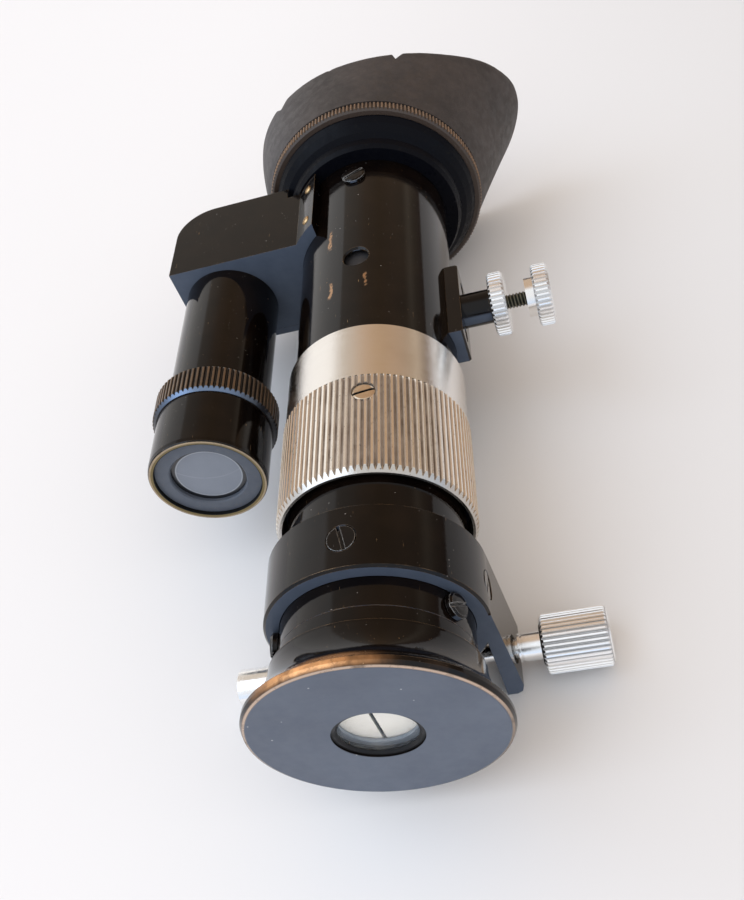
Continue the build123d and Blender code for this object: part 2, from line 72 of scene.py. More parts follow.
# ---------------------------------------------------------------- shader building
class Graph:
    """A node tree over one kind of coordinates. Its methods add nodes and return output sockets."""

    def __init__(self, tree, coordinates, scale):
        self.tree = tree
        self.tree.nodes.clear()
        source = self.tree.nodes.new("ShaderNodeTexCoord")
        self.place = self.vector("SCALE", source.outputs[coordinates], scale=scale)
        self.x, self.y, self.z = self.split(self.place)

    def split(self, vector):
        node = self.tree.nodes.new("ShaderNodeSeparateXYZ")
        self.put(node.inputs[0], vector)
        return node.outputs

    def put(self, socket, value):
        if isinstance(value, bpy.types.NodeSocket):
            self.tree.links.new(value, socket)
        else:
            socket.default_value = value

    def vector(self, operation, a, b=None, scale=None):
        node = self.tree.nodes.new("ShaderNodeVectorMath")
        node.operation = operation
        self.put(node.inputs[0], a)
        if b is not None:
            self.put(node.inputs[1], b)
        if scale is not None:
            self.put(node.inputs["Scale"], scale)
        return node.outputs["Value" if operation == "DOT_PRODUCT" else "Vector"]

    def math(self, operation, a, b=0.0):
        node = self.tree.nodes.new("ShaderNodeMath")
        node.operation = operation
        self.put(node.inputs[0], a)
        self.put(node.inputs[1], b)
        return node.outputs[0]

    def steps(self, value, low, high, to_low=0.0, to_high=1.0):
        """Runs smoothly from to_low to to_high as value goes from low to high."""
        node = self.tree.nodes.new("ShaderNodeMapRange")
        node.interpolation_type = "SMOOTHSTEP"
        for name, setting in zip(
            ("Value", "From Min", "From Max", "To Min", "To Max"),
            (value, low, high, to_low, to_high),
        ):
            self.put(node.inputs[name], setting)
        return node.outputs[0]

    def band(self, value, low, high, soft):
        rise = self.steps(value, low - soft, low + soft)
        fall = self.steps(value, high - soft, high + soft, 1.0, 0.0)
        return self.math("MULTIPLY", rise, fall)

    def radius(self, x=0.0, z=0.0):
        """Distance from an axis parallel to Y."""
        across = self.math("POWER", self.math("SUBTRACT", self.x, x), 2.0)
        up = self.math("POWER", self.math("SUBTRACT", self.z, z), 2.0)
        return self.math("SQRT", self.math("ADD", across, up))

    def radius_about_x(self, y, z=0.0):
        """Distance from an axis parallel to X."""
        across = self.math("POWER", self.math("SUBTRACT", self.y, y), 2.0)
        up = self.math("POWER", self.math("SUBTRACT", self.z, z), 2.0)
        return self.math("SQRT", self.math("ADD", across, up))

    def angle(self, x=0.0, z=0.0):
        """Angle about an axis parallel to Y, in radians from +X towards +Z."""
        return self.math(
            "ARCTAN2",
            self.math("SUBTRACT", self.z, z),
            self.math("SUBTRACT", self.x, x),
        )

    def stretched(self, x, y, z):
        return self.vector("MULTIPLY", self.place, (x, y, z))

    def noise(self, scale, detail=3.0, roughness=0.55, at=None):
        node = self.tree.nodes.new("ShaderNodeTexNoise")
        self.put(node.inputs["Vector"], at or self.place)
        self.put(node.inputs["Scale"], scale)
        self.put(node.inputs["Detail"], detail)
        self.put(node.inputs["Roughness"], roughness)
        return node.outputs[0]

    def cells(self, scale):
        node = self.tree.nodes.new("ShaderNodeTexVoronoi")
        self.put(node.inputs["Vector"], self.place)
        self.put(node.inputs["Scale"], scale)
        return node.outputs["Distance"]

    def mix(self, amount, low, high):
        node = self.tree.nodes.new("ShaderNodeMix")
        node.data_type = "RGBA"
        self.put(node.inputs[0], amount)
        self.put(node.inputs[6], low)
        self.put(node.inputs[7], high)
        return node.outputs[2]

    def blend(self, amount, low, high):
        node = self.tree.nodes.new("ShaderNodeMix")
        self.put(node.inputs[0], amount)
        self.put(node.inputs[2], low)
        self.put(node.inputs[3], high)
        return node.outputs[0]

    def all_of(self, *masks):
        total = masks[0]
        for mask in masks[1:]:
            total = self.math("MULTIPLY", total, mask)
        return total

    def any_of(self, *masks):
        total = masks[0]
        for mask in masks[1:]:
            total = self.math("MAXIMUM", total, mask)
        return total


class Shader(Graph):
    """One material, in millimetres of its piece's own frame."""

    def __init__(self, name):
        self.material = bpy.data.materials.new(name)
        self.material.use_nodes = True
        super().__init__(self.material.node_tree, "Object", 1 / MM)
        output = self.tree.nodes.new("ShaderNodeOutputMaterial")
        self.surface = self.tree.nodes.new("ShaderNodeBsdfPrincipled")
        self.tree.links.new(self.surface.outputs[0], output.inputs[0])
        self.edge_normal = None

    def set(self, **values):
        for name, value in values.items():
            self.put(self.surface.inputs[name.replace("_", " ")], value)

    def rounded(self, radius):
        """Rounds the shading over sharp edges, and returns a mask that is 1 on those edges."""
        bevel = self.tree.nodes.new("ShaderNodeBevel")
        bevel.samples = 4
        bevel.inputs["Radius"].default_value = radius * MM
        self.edge_normal = bevel.outputs[0]
        flat = self.tree.nodes.new("ShaderNodeNewGeometry").outputs["Normal"]
        turned = self.vector("DOT_PRODUCT", self.edge_normal, flat)
        return self.steps(turned, 0.84, 0.99, 1.0, 0.0)

    def facing_slit(self):
        """1 on faces turned square towards the slit end (-Y)."""
        normal = self.tree.nodes.new("ShaderNodeNewGeometry").outputs["Normal"]
        return self.steps(self.split(normal)[1], -0.985, -0.93, 1.0, 0.0)

    def bump(self, height, distance):
        node = self.tree.nodes.new("ShaderNodeBump")
        self.put(node.inputs["Height"], height)
        self.put(node.inputs["Distance"], distance * MM)
        self.put(node.inputs["Strength"], 1.0)
        if self.edge_normal:
            self.put(node.inputs["Normal"], self.edge_normal)
        self.tree.links.new(node.outputs[0], self.surface.inputs["Normal"])


def rgb(red, green, blue):
    return (red, green, blue, 1.0)


# ---------------------------------------------------------------- metals and paints
LACQUER = rgb(0.0022, 0.0014, 0.0012)
LACQUER_WARM = rgb(0.005, 0.003, 0.002)
BARE_BRASS = rgb(0.62, 0.42, 0.21)
BRONZE = rgb(0.34, 0.19, 0.1)
STEEL = rgb(0.4, 0.39, 0.38)
BARE_STEEL = rgb(0.75, 0.74, 0.72)
DUST = rgb(0.42, 0.4, 0.38)


def lacquer(name, patches=None, edge=0.1, edge_wear=0.5, under=(BRONZE, BARE_BRASS)):
    """Black lacquer on brass: thin, slightly brown, with wear, pinholes and dust, and painted blue-grey
    light on faces turned towards the slit end.

    patches(shader) returns (mask, colour, metallic, roughness) for one differing area.
    """
    s = Shader(name)
    worn_edge = s.all_of(
        s.rounded(edge),
        s.steps(s.noise(0.55, 5.0, 0.65), 0.5 - 0.3 * edge_wear, 0.9 - 0.3 * edge_wear),
    )
    cloud = s.noise(0.22, 4.0)
    paint = s.mix(s.steps(cloud, 0.35, 0.7), LACQUER, LACQUER_WARM)
    chips = s.steps(s.noise(1.7, 6.0, 0.7), 0.72, 0.745)
    scratch = s.all_of(
        s.steps(s.noise(1.0, 2.0, 0.5, s.stretched(9.0, 0.35, 9.0)), 0.735, 0.75),
        s.steps(s.noise(0.5, 2.0), 0.5, 0.62),
    )
    bare = s.any_of(chips, scratch, worn_edge)
    metal = s.mix(s.noise(1.2, 5.0), *under)
    dust = s.all_of(s.steps(s.noise(3.4, 2.0), 0.745, 0.765), s.steps(s.noise(0.3), 0.45, 0.6))
    colour = s.mix(dust, s.mix(bare, paint, metal), DUST)
    metallic = s.all_of(bare, s.math("SUBTRACT", 1.0, dust))
    roughness = s.math(
        "ADD",
        s.steps(s.noise(0.9, 5.0, 0.6), 0.3, 0.75, 0.064, 0.116),
        s.math("MULTIPLY", s.any_of(bare, dust), 0.22),
    )
    # painted light: faces turned towards the slit end get a blue-grey colour that stands in for cool
    # light from the front
    painted_front_light = s.mix(s.noise(0.5, 5.0, 0.6), rgb(0.055, 0.072, 0.105), rgb(0.085, 0.11, 0.155))
    areas = [(s.facing_slit(), painted_front_light, 0.0, 0.5)]
    if patches:
        areas += patches(s)
    for mask, patch_colour, patch_metallic, patch_roughness in areas:
        colour = s.mix(mask, colour, patch_colour)
        metallic = s.blend(mask, metallic, patch_metallic)
        roughness = s.blend(mask, roughness, patch_roughness)
    s.set(Base_Color=colour, Metallic=metallic, Roughness=roughness, IOR=1.33)
    relief = s.math(
        "ADD",
        s.math("MULTIPLY", s.noise(2.6, 2.0), 0.3),
        s.math("MULTIPLY", bare, -0.5),
    )
    s.bump(relief, 0.012)
    return s.material


def cap_patches(s):
    """The slit cap's face, grey blue with painted cool light and flecked with pits and pale specks, its
    pale edge line and the bronze wear above the lip.
    """
    cloud = s.noise(0.12, 4.0, 0.5)
    pits = s.steps(s.noise(1.6, 5.0, 0.75), 0.71, 0.735)
    # painted light: the face's blue-grey stands in for cool light from the front; the dark pits and pale
    # specks on it are its own
    grey = s.mix(s.steps(cloud, 0.25, 0.75), rgb(0.093, 0.11, 0.145), rgb(0.11, 0.13, 0.168))
    grey = s.mix(pits, grey, rgb(0.025, 0.025, 0.028))
    grey = s.mix(s.steps(s.cells(0.42), 0.035, 0.06, 0.8, 0.0), grey, rgb(0.5, 0.5, 0.5))
    face = s.steps(s.y, 0.02, 0.07, 1.0, 0.0)
    turn = s.angle()
    wear = s.steps(s.noise(0.4, 5.0, 0.6), 0.3, 0.6, 0.35, 1.0)
    line = s.all_of(
        s.band(s.y, 0.05, 0.17, 0.03),
        s.steps(s.radius(), 12.0, 12.2),
        s.steps(s.z, -12.0, 9.0, 0.12, 0.9),
        s.steps(s.noise(0.3, 4.0), 0.3, 0.5, 0.3, 1.0),
    )
    seat = s.all_of(s.band(s.y, 1.45, 2.0, 0.02), s.steps(s.radius(), 5.3, 5.35, 1.0, 0.0))
    lip = s.all_of(
        s.band(s.y, 0.3, 1.2, 0.25),
        s.band(turn, math.radians(80), math.radians(126), math.radians(16)),
        wear,
    )
    glow = s.all_of(
        s.band(s.y, 0.9, 1.9, 0.6),
        s.band(turn, math.radians(84), math.radians(110), math.radians(16)),
        wear,
    )
    rest = s.all_of(s.band(s.y, 0.3, 1.1, 0.25), s.steps(s.noise(0.6, 4.0), 0.4, 0.7, 0.0, 0.3))
    return [
        (rest, rgb(0.05, 0.03, 0.02), 0.6, 0.34),
        (seat, rgb(0.2, 0.235, 0.28), 0.0, 0.4),
        (s.any_of(lip, glow), rgb(0.8, 0.4, 0.17), 0.85, 0.38),
        (line, rgb(0.6, 0.46, 0.36), 0.9, 0.32),
        # the face: blue-grey of painted light, with its own pits and specks
        (face, grey, 0.0, s.steps(s.noise(0.5, 5.0), 0.3, 0.7, 0.42, 0.56)),
    ]


def nose_patches(s):
    """The mouth of the scale tube's sleeve: pale worn edge, olive brass inside, black gap."""
    radius = s.radius(SCALE_X)
    mouth = s.steps(s.y, 43.56, 43.62, 1.0, 0.0)
    wear = s.steps(s.noise(0.5, 5.0), 0.25, 0.6, 0.5, 1.0)
    edge = s.all_of(mouth, s.band(radius, 8.2, 8.46, 0.02), wear)
    inside = s.steps(radius, 8.18, 8.22, 1.0, 0.0)
    gap = s.steps(radius, 7.84, 7.88, 1.0, 0.0)
    return [
        (s.all_of(mouth, inside), rgb(0.2, 0.155, 0.075), 0.8, 0.38),
        (gap, rgb(0.003, 0.003, 0.003), 0.0, 0.6),
        (edge, rgb(0.42, 0.33, 0.22), 0.9, 0.34),
    ]


# scratches of the main tube: place along the axis, angle in degrees, half length, half width
SCRATCHES = ((77.2, 110.0, 2.2, 1.5), (64.8, 108.0, 1.7, 1.0), (65.2, 82.0, 1.4, 0.9))


def tube_patches(s):
    """Three scratches through the lacquer near the bare hole of the main tube."""
    turn = s.math("DEGREES", s.angle())
    marks = []
    for y, angle, long, wide in SCRATCHES:
        waver = s.math("MULTIPLY", s.math("SUBTRACT", s.noise(0.8, 3.0), 0.5), 7.0)
        across = s.math("ADD", s.math("SUBTRACT", turn, angle), waver)
        mark = s.all_of(
            s.band(across, -wide, wide, 0.5),
            s.band(s.y, y - long, y + long, 0.4),
            s.steps(s.noise(2.2, 4.0, 0.7), 0.4, 0.55),
        )
        marks.append((mark, rgb(0.42, 0.25, 0.14), 0.9, 0.34))
    return marks


def matte_black(name, tint=rgb(0.022, 0.022, 0.024), rough=0.55, ior=1.5, scuffed=0.06):
    """Flat black paint inside tubes and on small rings."""
    s = Shader(name)
    scuff = s.steps(s.noise(1.4, 6.0, 0.65), 0.55, 0.8)
    s.set(
        Base_Color=s.mix(scuff, tint, rgb(scuffed, scuffed * 0.97, scuffed * 0.97)),
        Roughness=s.steps(s.noise(0.8, 4.0), 0.3, 0.7, rough - 0.1, rough + 0.12),
        IOR=ior,
    )
    s.bump(s.noise(6.0, 3.0), 0.02)
    return s.material


def nickel(name):
    """Bright nickel plate with faint smears and patches of tarnish."""
    s = Shader(name)
    s.rounded(0.12)
    tarnish = s.steps(s.noise(0.55, 5.0, 0.65), 0.54, 0.8)
    pits = s.steps(s.noise(2.4, 5.0, 0.75), 0.725, 0.75)
    s.set(
        Base_Color=s.mix(
            pits, s.mix(tarnish, rgb(0.95, 0.94, 0.92), rgb(0.8, 0.74, 0.65)), rgb(0.06, 0.05, 0.04)
        ),
        Metallic=1.0,
        Roughness=s.steps(s.noise(1.1, 5.0, 0.6), 0.3, 0.75, 0.152, 0.323),
    )
    s.bump(s.noise(3.0, 3.0), 0.006)
    return s.material


def knob_nickel(name, y, z, crest, depth, dark):
    """Bright knurled knob on an axis parallel to X: clean crests, thin dark grooves.

    crest and depth are the knurl's radius and depth in mm, and dark is how far the grooves are darkened.
    """
    s = Shader(name)
    s.rounded(0.05)
    radius = s.radius_about_x(y, z)
    knurled = s.steps(radius, crest - 1.12 * depth, crest - 1.02 * depth)
    groove = s.all_of(knurled, s.steps(radius, crest - 0.95 * depth, crest - 0.4 * depth, 1.0, 0.0))
    pits = s.steps(s.noise(1.9, 5.0, 0.75), 0.735, 0.76)
    # darkens the grooves, found by radius, and scattered pits
    darkened = s.any_of(s.math("MULTIPLY", groove, dark), pits)
    plate = s.mix(s.noise(0.5, 4.0), rgb(1.0, 1.0, 1.0), rgb(0.95, 0.94, 0.92))
    s.set(
        Base_Color=s.mix(darkened, plate, rgb(0.05, 0.045, 0.045)),
        Metallic=1.0,
        Roughness=s.math("ADD", s.math("MULTIPLY", darkened, 0.25), 0.22),
    )
    s.bump(s.noise(3.0, 3.0), 0.004)
    return s.material


def thread_nickel(name):
    """The adjusting screw's thread: plate gone dull, with its valleys darkened to green black."""
    s = Shader(name)
    radius = s.radius_about_x(ADJUST_Y)
    # the valleys, found by radius, are darkened to green black
    valley = s.steps(radius, 0.98, 1.11, 1.0, 0.0)
    thread = s.mix(
        s.math("MULTIPLY", valley, 0.95),
        s.mix(s.noise(1.0, 4.0), rgb(0.14, 0.13, 0.09), rgb(0.26, 0.24, 0.18)),
        rgb(0.012, 0.014, 0.01),
    )
    plated = s.steps(radius, 1.25, 1.4)
    s.set(
        Base_Color=s.mix(plated, thread, rgb(0.9, 0.88, 0.85)),
        Metallic=s.blend(plated, 0.8, 1.0),
        Roughness=s.blend(plated, 0.34, 0.2),
    )
    s.bump(s.noise(4.0, 3.0), 0.008)
    return s.material


def scale_knurl(name):
    """Knurled ring of the side tube: bronze crests, black grooves, and a front bevel with a painted
    blue-grey reflection across its top.
    """
    s = Shader(name)
    s.rounded(0.05)
    radius = s.radius(SCALE_X)
    crest = s.all_of(
        s.steps(radius, 9.27, 9.39), s.steps(s.noise(0.6, 5.0), 0.3, 0.65, 0.35, 1.0)
    )
    bevel = s.all_of(s.steps(s.y, 52.95, 53.1, 1.0, 0.0), s.steps(radius, 8.75, 8.85))
    colour = s.mix(crest, rgb(0.006, 0.005, 0.005), rgb(0.2, 0.14, 0.095))
    # painted reflection: the front bevel is metallic blue-grey across its top and near black at the
    # sides, standing in for the cool front light it reflects
    top_painted_reflection = s.band(s.angle(SCALE_X), math.radians(40), math.radians(125), math.radians(25))
    bevel_painted_reflection = s.mix(top_painted_reflection, rgb(0.012, 0.013, 0.018), rgb(0.16, 0.21, 0.3))
    s.set(
        Base_Color=s.mix(bevel, colour, bevel_painted_reflection),
        Metallic=s.any_of(s.all_of(bevel, top_painted_reflection), s.math("MULTIPLY", crest, 0.85)),
        Roughness=0.28,
    )
    s.bump(s.noise(4.0, 3.0), 0.008)
    return s.material


def turned_nickel(name):
    """Satin plate with the fine rings that turning leaves, running round the barrel axis."""
    s = Shader(name)
    rings = s.noise(1.0, 4.0, 0.7, s.stretched(0.05, 26.0, 0.05))
    stain = s.any_of(
        s.steps(s.noise(0.12, 3.0, 0.5), 0.45, 0.8),
        s.math("MULTIPLY", s.steps(rings, 0.5, 0.7), 0.5),
    )
    s.set(
        Base_Color=s.mix(stain, rgb(0.82, 0.79, 0.75), rgb(0.72, 0.67, 0.61)),
        Metallic=1.0,
        Roughness=s.steps(s.noise(0.7, 4.0), 0.3, 0.7, 0.13, 0.2),
    )
    s.bump(rings, 0.01)
    return s.material


def knurled_nickel(name, axis_radius, depth, y0, y1):
    """Worn plate on the knurl: bright crests, brown grease and black pits in the grooves, and painted
    shade on the front bevel.
    """
    s = Shader(name)
    groove = s.steps(s.radius(), axis_radius - depth, axis_radius - 0.12 * depth, 1.0, 0.0)
    grease = s.all_of(
        groove,
        s.band(s.y, y0, y1, 0.1),
        s.steps(s.noise(0.3, 3.0), 0.3, 0.7, 0.6, 0.95),
    )
    pits = s.steps(s.noise(2.2, 5.0, 0.75), 0.64, 0.66)
    # painted shade: the front bevel, in front of y0, is darkened by a third in its colour to dim the
    # bright front light it reflects
    bevel = s.steps(s.y, y0 - 0.05, y0 + 0.1, 1.0, 0.0)
    crest = s.mix(s.noise(0.8, 4.0), rgb(0.92, 0.88, 0.82), rgb(0.8, 0.73, 0.65))
    s.set(
        Base_Color=s.mix(
            s.any_of(pits, s.math("MULTIPLY", bevel, 0.35)),
            s.mix(grease, crest, rgb(0.16, 0.11, 0.075)),
            rgb(0.015, 0.012, 0.01),
        ),
        Metallic=s.math("SUBTRACT", 1.0, s.math("MULTIPLY", grease, 0.5)),
        Roughness=s.math("ADD", s.math("MULTIPLY", grease, 0.25), 0.26),
    )
    s.bump(s.noise(3.2, 4.0), 0.01)
    return s.material


def ground_steel(name):
    """The slit jaws: fine ground, cream coloured, with a little dirt beside the slit; the cream is pushed
    to near white as painted light for the bright light in their recess.
    """
    s = Shader(name)
    grind = s.noise(1.0, 3.0, 0.6, s.stretched(14.0, 1.0, 0.6))
    darkened = s.steps(s.noise(1.1, 6.0, 0.7), 0.56, 0.72)
    # partly painted light: the near white cream is the steel's tone raised to stand in for the bright
    # light the jaws catch in their recess
    s.set(
        Base_Color=s.mix(
            s.math("MULTIPLY", darkened, 0.4), rgb(1.0, 0.96, 0.86), rgb(0.66, 0.58, 0.44)
        ),
        Metallic=0.15,
        Roughness=0.46,
    )
    s.bump(grind, 0.01)
    return s.material


def brass(name):
    """Bare brass of the pins and the small pad, tarnished in places."""
    s = Shader(name)
    dark = s.steps(s.noise(1.5, 5.0, 0.65), 0.45, 0.75)
    s.set(
        Base_Color=s.mix(dark, BARE_BRASS, rgb(0.217, 0.126, 0.0588)),
        Metallic=1.0,
        Roughness=s.steps(s.noise(2.0, 4.0), 0.3, 0.7, 0.24, 0.45),
    )
    s.bump(s.noise(4.0, 3.0), 0.01)
    return s.material


def set_screw(name):
    """The sleeve's set screw: cream worn plate, black in the slot."""
    s = Shader(name)
    slot = s.steps(s.radius(), 12.78, 12.86, 1.0, 0.0)
    plate = s.mix(s.noise(1.4, 5.0), rgb(0.8, 0.68, 0.53), rgb(0.6, 0.48, 0.35))
    s.set(
        Base_Color=s.mix(slot, plate, rgb(0.01, 0.008, 0.006)),
        Metallic=s.math("SUBTRACT", 1.0, slot),
        Roughness=0.26,
    )
    s.bump(s.noise(4.0, 3.0), 0.01)
    return s.material


def bronze_knurl(name):
    """The fine knurl of the eye ring: black at the roots, rubbed to bronze on the crests."""
    s = Shader(name)
    crest = s.all_of(s.steps(s.radius(), 18.45, 18.68), s.steps(s.y, 101.72, 101.82))
    rub = s.all_of(crest, s.steps(s.noise(0.4, 5.0), 0.25, 0.6, 0.35, 1.0))
    s.set(
        Base_Color=s.mix(rub, rgb(0.04, 0.027, 0.02), rgb(0.3, 0.205, 0.14)),
        Metallic=s.math("MULTIPLY", rub, 0.7),
        Roughness=0.42,
    )
    s.bump(s.noise(4.0, 3.0), 0.01)
    return s.material


def glass(name, alpha, tint):
    """Thin clear glass: mostly open, with the surface's own gloss and a trace of dust."""
    s = Shader(name)
    smear = s.steps(s.noise(0.5, 5.0), 0.45, 0.75)
    s.set(
        Base_Color=s.mix(smear, tint, rgb(0.85, 0.85, 0.82)),
        Alpha=s.math("ADD", s.math("MULTIPLY", smear, 0.05), alpha),
        Roughness=0.03,
        IOR=1.52,
    )
    return s.material


def frosted_glass(name):
    """The ground glass over the scale: milky, grey blue, darker towards its rim, with a painted pale arc
    of light across its lower half.
    """
    s = Shader(name)
    radius = s.radius(SCALE_X)
    rim = s.steps(radius, 4.86, 4.96)
    screen_tone = s.mix(s.noise(0.25, 4.0), rgb(0.155, 0.18, 0.225), rgb(0.2, 0.23, 0.28))
    screen_tone = s.mix(s.band(radius, 4.72, 4.84, 0.04), screen_tone, rgb(0.32, 0.35, 0.39))
    # painted light: a pale arc across the lower half of the screen, for the light that falls there
    painted_light_arc = s.all_of(s.band(s.radius(-24.2, 6.6), 7.5, 7.6, 0.12), s.noise(0.6, 3.0))
    screen_tone = s.mix(painted_light_arc, screen_tone, rgb(0.3, 0.33, 0.38))
    s.set(
        Base_Color=s.mix(rim, screen_tone, rgb(0.008, 0.009, 0.012)),
        Roughness=0.28,
        IOR=1.52,
        Coat_Weight=0.4,
        Coat_Roughness=0.08,
    )
    s.bump(s.noise(5.0, 4.0), 0.01)
    return s.material


def rubber(name):
    """Aged eyecup rubber: matt, brown grey, with lighter blotches, scuffs and pores, and painted light
    that greys its left side.
    """
    s = Shader(name)
    bloom = s.steps(s.noise(0.11, 5.0, 0.62), 0.35, 0.72)
    mottle = s.steps(s.noise(0.5, 5.0, 0.7), 0.4, 0.66)
    scuff = s.steps(s.noise(0.9, 6.0, 0.72, s.stretched(0.5, 1.3, 0.8)), 0.6, 0.78)
    aged = s.mix(bloom, rgb(0.017, 0.0112, 0.0086), rgb(0.032, 0.0225, 0.0185))
    aged = s.mix(s.math("MULTIPLY", mottle, 0.4), aged, rgb(0.045, 0.033, 0.028))
    # painted light: the left side, towards the window light, is mixed to a paler grey
    left_painted_light = s.steps(s.x, -17.0, -4.0, 0.7, 0.0)
    aged = s.mix(left_painted_light, aged, rgb(0.05, 0.045, 0.046))
    pores = s.steps(s.cells(2.6), 0.1, 0.2, 1.0, 0.0)
    s.set(
        Base_Color=s.mix(s.math("MULTIPLY", scuff, 0.4), aged, rgb(0.09, 0.075, 0.068)),
        Roughness=s.steps(s.noise(0.7, 4.0), 0.3, 0.7, 0.6, 0.8),
        IOR=1.48,
        Sheen_Weight=0.08,
        Sheen_Roughness=0.5,
    )
    grain = s.math("ADD", s.noise(4.5, 4.0, 0.6), s.math("MULTIPLY", scuff, 0.6))
    s.bump(s.math("SUBTRACT", grain, s.math("MULTIPLY", pores, 0.5)), 0.035)
    return s.material


black = lacquer("black_lacquer")
dull = matte_black("matte_black")
bright = nickel("nickel")
LOOKS = {
    lacquer("cap_lacquer", cap_patches, edge_wear=0.8): ["front_cap"],
    lacquer("nose_lacquer", nose_patches, edge_wear=0.9): ["scale_sleeve"],
    lacquer("screw_lacquer", edge=0.12, edge_wear=1.3, under=(STEEL, BARE_STEEL)): [
        "collar_screws", "head_screws", "block_screws", "cover_screws", "tube_screw",
    ],
    lacquer("tube_lacquer", tube_patches): ["main_tube"],
    black: [
        "slit_head", "draw_tube", "yoke", "adjust_block", "adjust_bushing",
        "prism_housing", "scale_tube", "housing_cover",
    ],
    matte_black("plate_black", rgb(0.0022, 0.0026, 0.0045), 0.32, 1.16, 0.006): ["eye_plate"],
    matte_black("ring_grey", rgb(0.085, 0.1, 0.128), 0.5, 1.45, 0.13): ["scale_end_ring"],
    dull: [
        "slit_plate", "collimator_cell", "collimator_ring", "prism_cell",
        "scale_lens_ring", "scale_holder", "eye_cap",
    ],
    matte_black("ring_black", rgb(0.004, 0.004, 0.005), 0.4, 1.35, 0.01): ["window_ring"],
    scale_knurl("scale_knurl"): ["scale_knurl_ring"],
    bright: ["cross_bolt", "jaw_screws"],
    knob_nickel("clamp_nickel", ROD_Y, ROD_Z, 3.85, 0.35, 0.48): ["clamp_knob"],
    knob_nickel("lock_nickel", ADJUST_Y, 0.0, 4.85, 0.35, 0.25): ["lock_nut"],
    knob_nickel("adjust_nickel", ADJUST_Y, 0.0, 4.65, 0.35, 0.25): ["adjust_knob"],
    set_screw("set_screw"): ["sleeve_screw"],
    turned_nickel("turned_nickel"): ["nickel_band"],
    knurled_nickel("knurled_nickel", 13.1, 0.3, 28.4, 44.1): ["focus_sleeve"],
    ground_steel("slit_steel"): ["jaw_fixed", "jaw_moving"],
    brass("brass"): ["adjust_pad", "saddle_pins"],
    bronze_knurl("bronze_knurl"): ["eye_ring"],
    glass("window_glass", 0.05, rgb(0.5, 0.58, 0.66)): ["front_window", "eye_window", "scale_plate"],
    glass("lens_glass", 0.3, rgb(0.3, 0.34, 0.4)): [
        "collimator_lens", "scale_lens", "corner_prism", "prism_entry", "prism_flint", "prism_exit",
    ],
    frosted_glass("frosted_glass"): ["scale_screen"],
}
for material, names in LOOKS.items():
    for node in names:
        nodes[node].data.materials.clear()
        nodes[node].data.materials.append(material)


# ---------------------------------------------------------------- pieces built as meshes
def solid_mesh(name, points, faces, material):
    """A closed, smooth-shaded mesh; points in millimetres."""
    mesh = bpy.data.meshes.new(name)
    mesh.from_pydata([Vector(p) * MM for p in points], [], faces)
    made = bmesh.new()
    made.from_mesh(mesh)
    bmesh.ops.recalc_face_normals(made, faces=made.faces)
    made.to_mesh(mesh)
    made.free()
    mesh.materials.append(material)
    mesh.polygons.foreach_set("use_smooth", [True] * len(mesh.polygons))
    mesh.set_sharp_from_angle(angle=math.radians(35.0))
    shape = bpy.data.objects.new(name, mesh)
    scene.collection.objects.link(shape)
    return shape


def loops_to_faces(rows, count, closed):
    """Quads between neighbouring rows of count points; closed joins the last row to the first."""
    faces = []
    for i in range(rows if closed else rows - 1):
        here = i * count
        there = ((i + 1) % rows) * count
        for j in range(count):
            k = (j + 1) % count
            faces.append((here + j, here + k, there + k, there + j))
    return faces


def through(keys, at):
    """Smooth curve through keys of (position, value, ...), read at a position."""
    i = max(1, min(len(keys) - 2, sum(1 for key in keys if key[0] <= at)))
    before, low, high = keys[max(i - 2, 0)], keys[i - 1], keys[i]
    after = keys[min(i + 1, len(keys) - 1)]
    span = high[0] - low[0]
    t = (at - low[0]) / span
    result = []
    for k in range(1, len(low)):
        slope_low = (high[k] - before[k]) / (high[0] - before[0]) * span
        slope_high = (after[k] - low[k]) / (after[0] - low[0]) * span
        result.append(
            (2 * t**3 - 3 * t**2 + 1) * low[k]
            + (t**3 - 2 * t**2 + t) * slope_low
            + (3 * t**2 - 2 * t**3) * high[k]
            + (t**3 - t**2) * slope_high
        )
    return result


# the cup's outer ovals: y, half width in x, half width in z, centre in x
CUP_OVALS = (
    (103.6, 18.75, 18.75, 0.0),
    (106.4, 19.9, 18.85, 0.07),
    (111.0, 21.3, 18.95, 0.47),
    (117.0, 22.95, 19.05, 1.25),
    (123.0, 24.3, 19.15, 2.4),
    (129.0, 25.6, 19.2, 3.6),
)
# the height of the cup's rim along x
CUP_RIM = (
    (-26.0, 119.3),
    (-19.0, 119.2),
    (-9.5, 118.35),
    (3.0, 117.75),
    (15.8, 120.0),
    (25.0, 124.5),
    (28.6, 127.3),
    (33.0, 130.5),
)
CUP_BASE = 103.6
CUP_SEAT = 106.7
CUP_BORE = 17.88
CUP_WALL = 1.5
LIP_HEIGHT = 0.7
# nicks in the rim: angle in degrees, half width in degrees, depth in mm
CUP_NICKS = ((70.5, 2.3, 1.5), (101.0, 1.2, 0.3), (131.0, 4.5, 1.7), (168.0, 3.6, 1.3), (305.0, 2.4, 0.6))


def cup_point(y, turn, inset):
    half_x, half_z, centre = through(CUP_OVALS, y)
    return Vector(
        (centre + (half_x - inset) * math.cos(turn), y, (half_z - inset) * math.sin(turn))
    )


def rim_height(turn):
    y = 119.0
    for _ in range(12):
        y = through(CUP_RIM, cup_point(y, turn, CUP_WALL / 2).x)[0]
    wave = noise.noise(Vector((3.0 * math.cos(turn), 3.0 * math.sin(turn), 0.4)))
    grain = noise.noise(Vector((22.0 * math.cos(turn), 22.0 * math.sin(turn), 1.7)))
    y -= 0.12 + 0.12 * wave + 0.05 * grain
    for angle, width, depth in CUP_NICKS:
        away = abs(math.degrees(turn) - angle) / width
        y -= depth * max(0.0, 1.0 - away)
    return y


